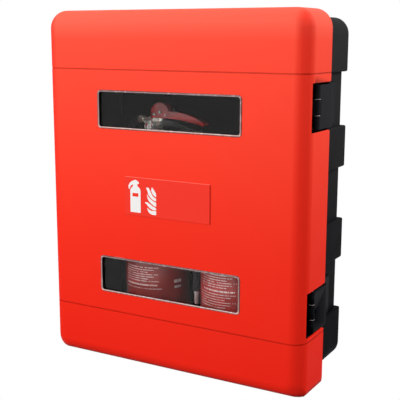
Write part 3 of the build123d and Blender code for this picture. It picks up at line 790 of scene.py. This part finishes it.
def turned(name: str, profile: Profile, place: Point, ahead: Point, sides: int = 40) -> Piece:
    """Turns a piece as on a lathe: a disc pushed out and resized step by step.

    Args:
        name: Name of the piece.
        profile: Radius and distance along the axis of each step, from the foot.
        place: Centre of the foot.
        ahead: Direction of the axis.
        sides: Vertices of each circle.

    Returns:
        The closed piece, with its place in its mesh.
    """
    hold()
    radius, along = profile[0]
    bpy.ops.mesh.primitive_circle_add(vertices=sides, radius=radius, fill_type="NGON", location=(0.0, 0.0, along))
    piece = take(name)
    edit_all(piece)
    for next_radius, next_along in profile[1:]:
        push((0.0, 0.0, next_along - along))
        share = next_radius / radius
        bpy.ops.transform.resize(value=(share, share, 1.0), center_override=(0.0, 0.0, next_along))
        radius, along = next_radius, next_along
    hold()
    piece.rotation_euler = Vector(ahead).to_track_quat("Z", "Y").to_euler()
    piece.location = place
    settle(piece)
    face_out(piece)
    return piece


def copied(piece: Piece, name: str, move: Point = (0.0, 0.0, 0.0)) -> Piece:
    """Copies a piece with a mesh of its own and moves the copy.

    Args:
        piece: Piece that is repeated.
        name: Name of the copy.
        move: Step from the piece to the copy.

    Returns:
        The copy.
    """
    twin = piece.copy()
    twin.data = piece.data.copy()
    twin.name = twin.data.name = name
    bpy.context.scene.collection.objects.link(twin)
    twin.location = move
    return settle(twin)


def joined(name: str, pieces: Sequence[Piece]) -> Piece:
    """Makes one object of several.

    Args:
        name: Name of the result.
        pieces: Objects that are joined.

    Returns:
        The joined object.
    """
    hold(*pieces)
    bpy.ops.object.join()
    return take(name)


def cut_out(name: str, outline: Profile, front_y: float, back_y: float, rounding: float) -> Piece:
    """Makes a thin flat shape that faces the front from its outline in X and Z.

    Args:
        name: Name of the piece.
        outline: Corners in millimetres, in order round the shape.
        front_y: Its front.
        back_y: Its back.
        rounding: Radius at the corners.

    Returns:
        The closed shape.
    """
    hold()
    bpy.ops.mesh.primitive_circle_add(vertices=len(outline), radius=1.0, fill_type="NGON")
    piece = take(name)
    for vertex, (x, z) in zip(piece.data.vertices, outline):
        vertex.co = (x * MM, front_y, z * MM)
    edit_all(piece, "VERT")
    bpy.ops.mesh.bevel(offset=rounding, segments=5, affect="VERTICES")
    edit_all(piece)
    push((0.0, back_y - front_y, 0.0))
    face_out(piece)
    return settle(piece)


# Finishes.

# The door, the tub and the hinge plastics are painted lighter towards the top, as painted light.
DOOR_RED = DoorPlastic("door_red_plastic", "door_red", colour=(0.85, 0.019, 0.009), painted_top_light=(0.95, 0.050, 0.024),
                       rough=0.38, rough_swing=0.05, flow=0.02, grain_scale=700.0, grain_depth=0.00002)
SIGN_RED = PlatePlastic("sign_red_plate", "sign_red", colour=(0.86, 0.042, 0.026), rough=0.42,
                        rough_swing=0.04, flow=0.02, grain_scale=1600.0, grain_depth=0.00001, gloss=0.03)
TUB_BLACK = MouldedPlastic("tub_black_plastic", "body_black", colour=(0.0018, 0.0018, 0.0028),
                           painted_top_light=(0.0225, 0.0225, 0.0235), rough=0.5, rough_swing=0.07, flow=0.12,
                           grain_scale=1300.0, grain_depth=0.00006, gloss=0.005)
HINGE_BLACK = MouldedPlastic("hinge_black_plastic", "hinge_black", colour=(0.004, 0.004, 0.006),
                             painted_top_light=(0.0180, 0.0185, 0.0215), rough=0.42, flow=0.10, grain_scale=1500.0,
                             grain_depth=0.00004)
FOOT_BLACK = MouldedPlastic("foot_black_plastic", "foot_black", colour=(0.018, 0.018, 0.018), rough=0.5, gloss=0.3)
# Pale washer colour as a painted glint in the knuckle gaps.
WASHER_GLINT = MouldedPlastic("washer_glint", "hinge_black", colour=(0.62, 0.52, 0.52), grain_scale=2000.0, gloss=0.2)
CLEAR = ClearPlastic("clear_pane_plastic", "clear_pane")
BOTTLE_RED = Enamel("bottle_red_enamel", "bottle_red", colour=(0.50, 0.018, 0.014))
LEVER_RED = Enamel("lever_red_enamel", "lever_red", colour=(0.34, 0.008, 0.009), rough=0.16)
HANDLE_BLACK = Enamel("handle_black_enamel", "handle_black", colour=(0.018, 0.018, 0.018), rough=0.3)
BRACKET_GREY = Enamel("bracket_grey_enamel", "bracket_steel", colour=(0.09, 0.09, 0.095), rough=0.4)
VALVE_PLATE = Plated("valve_nickel_plate", "valve_chrome", colour=(0.92, 0.89, 0.80), metal=0.7)
GAUGE_PLATE = Plated("gauge_plate", "gauge_metal", colour=(0.94, 0.94, 0.94), rough=0.22, metal=0.7)
PIN_STEEL = Plated("pin_ground_steel", "pin_steel", colour=(0.82, 0.82, 0.83), rough=0.34, metal=0.5)
NOZZLE_ALLOY = Plated("nozzle_satin_alloy", "nozzle_metal", colour=(0.95, 0.95, 0.97), rough=0.34, metal=0.55)
HOSE_RUBBER = Coating("hose_black_rubber", "hose_rubber", colour=(0.02, 0.02, 0.021), shades=(1.0, 2.4), rough=0.55,
                      stain=(90.0, 4.0, 0.6), stain_span=(0.0, 0.6, 0.45, 0.8), mark=(90.0, 4.0, 0.6),
                      mark_span=(-0.08, 0.12, 0.0, 1.0), relief=(1500.0, 1.0), depth=0.00005)
SIGN_WHITE = Coating("sign_white_ink", "sign_red", colour=(0.86, 0.84, 0.82))

NODE_FINISHES: dict[str, Finish] = {
    "body_tub": TUB_BLACK, "door_shell": DOOR_RED, "sign_plate": SIGN_RED, "window_pane": CLEAR,
    "window_frame": HINGE_BLACK, "hinge_arm": HINGE_BLACK, "hinge_pin": PIN_STEEL, "door_knuckle": HINGE_BLACK,
    "keeper": HINGE_BLACK, "catch": HINGE_BLACK, "bottle": BOTTLE_RED, "base_ring": FOOT_BLACK,
    "valve": VALVE_PLATE, "gauge": GAUGE_PLATE, "lever": LEVER_RED, "carry_handle": HANDLE_BLACK,
    "safety_pin": PIN_STEEL, "hose": HOSE_RUBBER, "nozzle": NOZZLE_ALLOY, "hose_clip": HINGE_BLACK,
    "bracket": BRACKET_GREY, "cradle": TUB_BLACK,
}


def finish_of(node: str) -> Finish:
    """Finish of a CAD node, by its name without the word for its place."""
    family, _, place = node.rpartition("_")
    return NODE_FINISHES[family if place in {item.value for item in (*Side, *Level)} else node]


# Sub-assemblies.

WINDOW_ZS = {Level.UPPER: 0.1931, Level.LOWER: -0.1989}
HINGE_ZS = {Level.UPPER: 0.2138, Level.LOWER: -0.2246}
LOWER_DROP = 0.0055


@cache
def material_of(finish: Finish) -> bpy.types.Material:
    """The finish's material, made when it is first asked for."""
    return finish.build()


def dress(piece: Piece, finish: Finish, body: Body) -> None:
    """Gives a new piece its finish and its body, and reports it.

    Args:
        piece: New piece.
        finish: Its finish.
        body: Body that it rides on.
    """
    piece.data.materials.clear()
    piece.data.materials.append(material_of(finish))
    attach(piece, body.value)
    LOG.info("%s: %d faces, %s", piece.name, len(piece.data.polygons), finish.name)


@dataclass
class PaneRim:
    """Bead that stands round a window's clear pane, coloured with painted light."""

    level: Level
    centre_z: float
    width: float = 0.3736
    height: float = 0.0886
    corner_r: float = 0.0098
    bead: float = 0.0042
    front_y: float = -0.26955
    back_y: float = -0.2672
    edge_r: float = 0.0010
    smooth: float = 50.0

    def build(self) -> None:
        """Rounds a rectangle, opens its middle and pushes the ring back."""
        hold()
        bpy.ops.mesh.primitive_plane_add(size=1.0, location=(0.0, self.front_y, self.centre_z),
                                         rotation=(math.pi / 2, 0.0, 0.0))
        rim = take(f"pane_rim_{self.level.value}")
        rim.scale = (self.width, self.height, 1.0)
        bpy.ops.object.transform_apply(location=True, rotation=True, scale=True)
        edit_all(rim, "VERT")
        bpy.ops.mesh.bevel(offset=self.corner_r, segments=8, affect="VERTICES")
        hollow(rim, self.bead, (0.0, self.back_y - self.front_y, 0.0))
        soften(rim, self.edge_r, 3)
        settle(rim, self.smooth)
        edge = BeadLightPaint(f"pane_edge_{self.level.value}", "clear_pane", self.centre_z, self.width, self.height)
        dress(rim, edge, Body.DOOR)


@dataclass
class SignArt:
    """Plain pictogram of a bottle and flames, printed on the sign plate."""

    front_y: float = -0.2703
    back_y: float = -0.2698
    mark_y: float = -0.27045
    rounding: float = 0.0012
    bottle: Profile = (
        (-97, -40), (-69, -40), (-69, 13), (-71, 17), (-76, 20), (-78, 24), (-77, 27), (-73, 27), (-73, 30),
        (-77, 34), (-83, 36), (-93, 32), (-99, 27), (-102, 21), (-101, 13), (-99, 13), (-96, 21), (-91, 25),
        (-89, 23), (-90, 20), (-94, 17), (-97, 12))
    label: Profile = ((-91, -3), (-75, -3), (-75, 5), (-91, 5))
    flames: tuple[Profile, ...] = (
        ((-38, 23), (-33, 17), (-27, 9), (-27, 0), (-32, 3), (-37, 8), (-40, 15)),
        ((-54, 20), (-47, 21), (-42, 13), (-38, 5), (-33, 0), (-27, -3), (-27, -9), (-35, -7), (-42, -2),
         (-48, 5), (-50, 13)),
        ((-52, 6), (-48, 0), (-42, -5), (-36, -9), (-27, -12), (-27, -22), (-33, -20), (-39, -16), (-46, -11),
         (-50, -4)),
        ((-58, -14), (-52, -13), (-45, -16), (-37, -21), (-27, -25), (-27, -30), (-36, -30), (-43, -27),
         (-48, -23), (-53, -18)),
        ((-52, -26), (-47, -29), (-41, -32), (-27, -32), (-27, -41), (-37, -41), (-44, -39), (-48, -35)))

    def build(self) -> None:
        """Cuts out the bottle, its label's place and the flames."""
        body = cut_out("sign_bottle", self.bottle, self.front_y, self.back_y, self.rounding)
        dress(body, SIGN_WHITE, Body.DOOR)
        label = cut_out("sign_bottle_label", self.label, self.mark_y, self.back_y, self.rounding / 3)
        dress(label, SIGN_RED, Body.DOOR)
        tongues = [cut_out(f"tongue_{i}", outline, self.front_y, self.back_y, self.rounding)
                   for i, outline in enumerate(self.flames)]
        dress(joined("sign_flames", tongues), SIGN_WHITE, Body.DOOR)


@dataclass
class HingeWashers:
    """Pale washers in the two gaps between a hinge's knuckles; their pale colour is a painted glint in the gaps."""

    level: Level
    centre_z: float
    axis: Pair = (0.3285, -0.203)
    step: float = 0.017
    outer_r: float = 0.0071
    inner_r: float = 0.0032
    thickness: float = 0.0008
    edge_r: float = 0.00015

    def build(self) -> None:
        """Makes the lower washer from a disc and copies it to the upper gap."""
        hold()
        bpy.ops.mesh.primitive_circle_add(vertices=40, radius=self.outer_r, fill_type="NGON",
                                          location=(*self.axis, self.centre_z - self.step - self.thickness / 2))
        lower = take("washer")
        hollow(lower, self.outer_r - self.inner_r, (0.0, 0.0, self.thickness))
        soften(lower, self.edge_r, 2)
        settle(lower)
        upper = copied(lower, "washer_2", (0.0, 0.0, 2 * self.step))
        dress(joined(f"hinge_washers_{self.level.value}", (lower, upper)), WASHER_GLINT, Body.CABINET)


@dataclass
class DoorSkin:
    """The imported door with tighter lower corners, wider notches and its lower row set down."""

    half_width: float = 0.3355
    half_height: float = 0.417
    corner_r: float = 0.042
    tight_r: float = 0.012
    start_y: float = -0.262
    tight_y: float = -0.232
    front_y: float = -0.268
    edge_r: float = 0.034
    notch_x: float = 0.29
    notch_y: Pair = (-0.2462, -0.2368)
    notch_half: float = 0.061
    forward: float = 0.0072
    shell: float = 0.006
    pocket_x: float = 0.25
    pocket_y: float = -0.2518
    smooth: float = 30.0

    def reach(self, across: float, down: float, radius: float) -> float:
        """How much farther out a tighter corner lies in one direction.

        Args:
            across: Unit direction from the wide corner's centre, along X.
            down: The same along Z.
            radius: Of the tighter corner.

        Returns:
            Factor on the distance from the wide corner's centre.
        """
        inset = self.corner_r - radius
        middle = inset * (across + down)
        out = middle + math.sqrt(max(middle * middle - 2 * inset * inset + radius * radius, 0.0))
        if min(out * across, out * down) < inset:
            out = self.corner_r / max(across, down)
        return out / self.corner_r

    def tighten(self, point: Vector) -> None:
        """Moves one point of a lower corner outwards by its depth.

        Args:
            point: Moved in place.
        """
        across = abs(point.x) - (self.half_width - self.corner_r)
        down = -point.z - (self.half_height - self.corner_r)
        share = (point.y - self.start_y) / (self.tight_y - self.start_y)
        if across <= 0.0 or down <= 0.0 or share <= 0.0:
            return
        length = math.hypot(across, down)
        radius = self.corner_r - (self.corner_r - self.tight_r) * min(share, 1.0)
        grow = self.reach(across / length, down / length, radius) - 1.0
        point.x += math.copysign(across * grow, point.x)
        point.z -= down * grow

    def inset(self, y: float) -> float:
        """How far the rounded front edge lies inside the flank at one depth."""
        ahead = max(self.edge_r - (y - self.front_y), 0.0)
        return self.edge_r - math.sqrt(self.edge_r ** 2 - ahead ** 2)

    def widen(self, point: Vector) -> None:
        """Moves one point of a notch's front wall forward, along the rounded edge where it is on it.

        Args:
            point: Moved in place.
        """
        off_level = min(abs(point.z - level_z) for level_z in HINGE_ZS.values())
        low_y, high_y = self.notch_y
        if abs(point.x) < self.notch_x or off_level > self.notch_half or not low_y < point.y < high_y:
            return
        moved_y = point.y - self.forward
        surface = self.half_width - self.inset(point.y)
        if abs(point.x) > surface - self.shell:
            point.x -= math.copysign(self.inset(moved_y) - self.inset(point.y), point.x)
        point.y = moved_y

    def lower(self, point: Vector) -> None:
        """Moves one point of the lower row's notches and pockets down.

        Args:
            point: Moved in place.
        """
        off_level = abs(point.z - HINGE_ZS[Level.LOWER])
        if abs(point.x) > self.pocket_x and point.y > self.pocket_y and off_level < self.notch_half:
            point.z -= LOWER_DROP

    def build(self, solid: Piece) -> None:
        """Copies the solid's surface, merges it, reshapes it and replaces the solid.

        Args:
            solid: Object of the CAD door.
        """
        skin = copied(solid, "door_skin")
        face_out(skin)
        for vertex in skin.data.vertices:
            self.tighten(vertex.co)
            self.widen(vertex.co)
            self.lower(vertex.co)
        settle(skin, self.smooth)
        apply_modifier(skin, "WEIGHTED_NORMAL", keep_sharp=True)
        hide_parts("door_shell")
        dress(skin, DOOR_RED, Body.DOOR)


@dataclass
class LoweredRow:
    """Hinge and catch of the lower row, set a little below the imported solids."""

    on_cabinet: tuple[str, ...] = ("hinge_arm", "hinge_pin", "keeper")
    on_door: tuple[str, ...] = ("door_knuckle", "catch")

    def build(self, nodes: dict[str, Piece]) -> None:
        """Copies each piece, lowers it and replaces the solid.

        Args:
            nodes: Objects of the CAD nodes by name.
        """
        for families, body in ((self.on_cabinet, Body.CABINET), (self.on_door, Body.DOOR)):
            for family in families:
                name = f"{family}_{Level.LOWER.value}"
                piece = copied(nodes[name], f"{family}_lowered", (0.0, 0.0, -LOWER_DROP))
                face_out(piece)
                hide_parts(name)
                dress(piece, finish_of(name), body)


@dataclass
class FrameScrews:
    """Pan-head screws that hold a window's clamping frame, inside the door."""

    level: Level
    centre_z: float
    seat_y: float = -0.2585
    reach_x: tuple[float, ...] = (-0.190, -0.0635, 0.0635, 0.190)
    reach_z: float = 0.0475
    head: Profile = ((0.0026, -0.0005), (0.0026, 0.0007), (0.0023, 0.0013), (0.0016, 0.0017), (0.0011, 0.0018),
                     (0.0009, 0.0009))

    def build(self) -> None:
        """Turns one screw head and copies it round the frame."""
        (x0, z0), *spots = [(x, side * self.reach_z) for x in self.reach_x for side in (-1, 1)]
        first = turned("screw", self.head, (x0, self.seat_y, self.centre_z + z0), (0.0, 1.0, 0.0), 20)
        heads = [first, *(copied(first, f"screw_{i}", (x - x0, 0.0, z - z0)) for i, (x, z) in enumerate(spots))]
        dress(joined(f"frame_screws_{self.level.value}", heads), PIN_STEEL, Body.DOOR)


@dataclass
class ExtinguisherTrim:
    """Small fittings of one extinguisher that the solids leave out."""

    side: Side
    label_rows: tuple[Row, ...]
    label_red: Colour
    label_z: Pair = (-0.300, -0.150)
    label_film: float = 0.00015
    label_back: float = 0.55
    dial: Profile = ((0.0107, -0.0002), (0.0107, 0.0003), (0.0104, 0.0005))
    bezel: float = 0.0016
    needle: Profile = ((-0.5, -2.6), (0.5, -2.6), (0.7, 0.0), (0.1, 7.6), (-0.1, 7.6), (-0.7, 0.0))
    needle_y: Pair = (-0.0009, -0.0004)
    rivet: Profile = ((0.0036, -0.0010), (0.0036, 0.0002), (0.0033, 0.0008), (0.0026, 0.0014), (0.0014, 0.0018),
                      (0.0004, 0.0019))
    rivet_spots: tuple[Pair, ...] = ((-0.001, 0.054), (0.015, 0.060))
    lever_half: float = 0.0116
    sleeve: Profile = (
        (0.0089, 0.0), (0.0094, 0.0006), (0.0094, 0.0050), (0.0090, 0.0056), (0.0090, 0.0064), (0.0094, 0.0070),
        (0.0094, 0.0110), (0.0090, 0.0116), (0.0090, 0.0124), (0.0094, 0.0130), (0.0094, 0.0174), (0.0088, 0.0180))
    sleeve_lap: float = 0.002
    port: Pair = (0.042, 0.038)
    screw: Profile = ((0.0062, -0.0003), (0.0062, 0.0012), (0.0056, 0.0026), (0.0042, 0.0036), (0.0030, 0.0038),
                      (0.0026, 0.0018))
    plate: float = 0.004
    screw_spot: Pair = (0.013, 0.013)

    def named(self, family: str) -> str:
        """Name of a piece on this side."""
        return f"{family}_{self.side.value}"

    def box(self, family: str) -> tuple[Point, Point, Point]:
        """Low corner, high corner and middle of a CAD node on this side."""
        low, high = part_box(self.named(family))
        return low, high, tuple((a + b) / 2 for a, b in zip(low, high))

    def wrap_label(self) -> None:
        """Keeps the front two thirds of an open tube and gives it a little thickness."""
        low, high, (x, y, _) = self.box("bottle")
        foot, top = self.label_z
        hold()
        bpy.ops.mesh.primitive_cylinder_add(
            vertices=120, radius=(high[0] - low[0]) / 2 + self.label_film, depth=top - foot,
            end_fill_type="NOTHING", location=(x, y, (foot + top) / 2))
        label = take(self.named("bottle_label"))
        bpy.ops.object.transform_apply(location=True, rotation=True, scale=True)
        edit_all(label)
        bpy.ops.mesh.select_all(action="DESELECT")
        bpy.ops.object.mode_set(mode="OBJECT")
        for face in label.data.polygons:
            face.select = face.normal.y > self.label_back
        bpy.ops.object.mode_set(mode="EDIT")
        bpy.ops.mesh.delete(type="FACE")
        apply_modifier(label, "SOLIDIFY", thickness=self.label_film, offset=1.0)
        settle(label)
        print_name = self.named("bottle_label_print")
        dress(label, PrintedLabel(print_name, "bottle_red", (x, y), self.label_rows, self.label_red), Body.CABINET)

    def set_dial(self) -> None:
        """Puts a dial and a needle into the gauge's case."""
        low, _, (x, _, z) = self.box("gauge")
        floor_y = low[1] + self.bezel
        dial = turned(self.named("gauge_dial"), self.dial, (x, floor_y, z), (0.0, -1.0, 0.0))
        face = DialFace(self.named("gauge_dial_face"), "gauge_metal", (x, z))
        dress(dial, face, Body.CABINET)
        outline = tuple((x / MM + across, z / MM + up) for across, up in self.needle)
        front_y, back_y = (floor_y + step for step in self.needle_y)
        needle = cut_out(self.named("gauge_needle"), outline, front_y, back_y, 0.00004)
        dress(needle, HANDLE_BLACK, Body.CABINET)

    def set_rivets(self) -> None:
        """Domed heads on the ends of the lever's two pins, on both cheeks."""
        x, y, _ = self.box("bottle")[2]
        collar_z = self.box("valve")[0][2]
        heads = [turned(f"rivet_{i}_{side}", self.rivet, (x + along, y + side * self.lever_half, collar_z + rise),
                        (0.0, side, 0.0), 24)
                 for i, (along, rise) in enumerate(self.rivet_spots) for side in (-1, 1)]
        dress(joined(self.named("lever_rivets"), heads), PIN_STEEL, Body.CABINET)

    def crimp_sleeves(self) -> None:
        """Grooved sleeves on the hose at the nozzle and at the valve's port."""
        _, high, (end_x, end_y, _) = self.box("nozzle")
        lower = turned(self.named("nozzle_sleeve"), self.sleeve, (end_x, end_y, high[2] - self.sleeve_lap),
                       (0.0, 0.0, 1.0))
        dress(lower, HOSE_RUBBER, Body.CABINET)
        x, y, _ = self.box("bottle")[2]
        out, rise = self.port
        away = Vector((end_x - x, end_y - y, 0.0)).normalized()
        port = Vector((x, y, self.box("valve")[0][2] + rise)) + away * out
        upper = turned(self.named("port_sleeve"), self.sleeve, port, away)
        dress(upper, VALVE_PLATE, Body.CABINET)

    def screw_bracket(self) -> None:
        """Two coach screws through the bracket's plate."""
        low, high, (x, _, _) = self.box("bracket")
        across, up = self.screw_spot
        name = self.named("bracket_screws")
        first = turned(name, self.screw, (x - across, high[1] - self.plate, low[2] + up), (0.0, -1.0, 0.0), 28)
        second = copied(first, "screw", (2 * across, 0.0, 0.0))
        dress(joined(name, (first, second)), PIN_STEEL, Body.CABINET)

    def build(self) -> None:
        """Makes all the fittings of this extinguisher."""
        self.wrap_label()
        self.set_dial()
        self.set_rivets()
        self.crimp_sleeves()
        self.screw_bracket()


def even_rows(top: float, count: int, step: float, thick: float, span: Pair, seed: float) -> tuple[Row, ...]:
    """Evenly spaced rows, each with its middle, thickness, first and last angle in degrees, and seed."""
    return tuple((top - i * step, thick, span[0], span[1] - 9.0 * (i % 3), seed + 3.7 * i) for i in range(count))


# One label red as painted shade and painted light: darker on the left, lighter on the right.
LABEL_REDS = {Side.LEFT: (0.29, 0.012, 0.010), Side.RIGHT: (0.47, 0.022, 0.020)}
LABEL_ROWS = {
    Side.LEFT: (*even_rows(-0.186, 7, 0.0056, 0.0017, (-124.0, -56.0), 1.3), (-0.229, 0.0036, -124.0, -58.0, 4.1),
                (-0.238, 0.0017, -124.0, -50.0, 7.7), (-0.222, 0.0080, -29.0, -14.0, 2.9),
                (-0.236, 0.0060, -29.0, -14.0, 5.2)),
    Side.RIGHT: (*even_rows(-0.176, 6, 0.0058, 0.0018, (-128.0, -58.0), 11.3), (-0.214, 0.0038, -124.0, -62.0, 17.1),
                 *even_rows(-0.222, 6, 0.0060, 0.0018, (-134.0, -60.0), 23.2)),
}


def main() -> None:
    """Loads the frame, builds the studio and dresses the cabinet."""
    logging.basicConfig(level=logging.INFO, format="%(name)s: %(message)s")
    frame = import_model()
    Studio().build()
    for name, node in frame["nodes"].items():
        for slot in node.material_slots:
            slot.material = material_of(finish_of(name))
    LOG.info("%d CAD nodes dressed", len(frame["nodes"]))
    DoorSkin().build(frame["nodes"]["door_shell"])
    LoweredRow().build(frame["nodes"])
    for level in Level:
        PaneRim(level, WINDOW_ZS[level]).build()
        FrameScrews(level, WINDOW_ZS[level]).build()
        drop = LOWER_DROP if level is Level.LOWER else 0.0
        HingeWashers(level, HINGE_ZS[level] - drop).build()
    SignArt().build()
    for side in Side:
        ExtinguisherTrim(side, LABEL_ROWS[side], LABEL_REDS[side]).build()


if __name__ == "__main__":
    main()
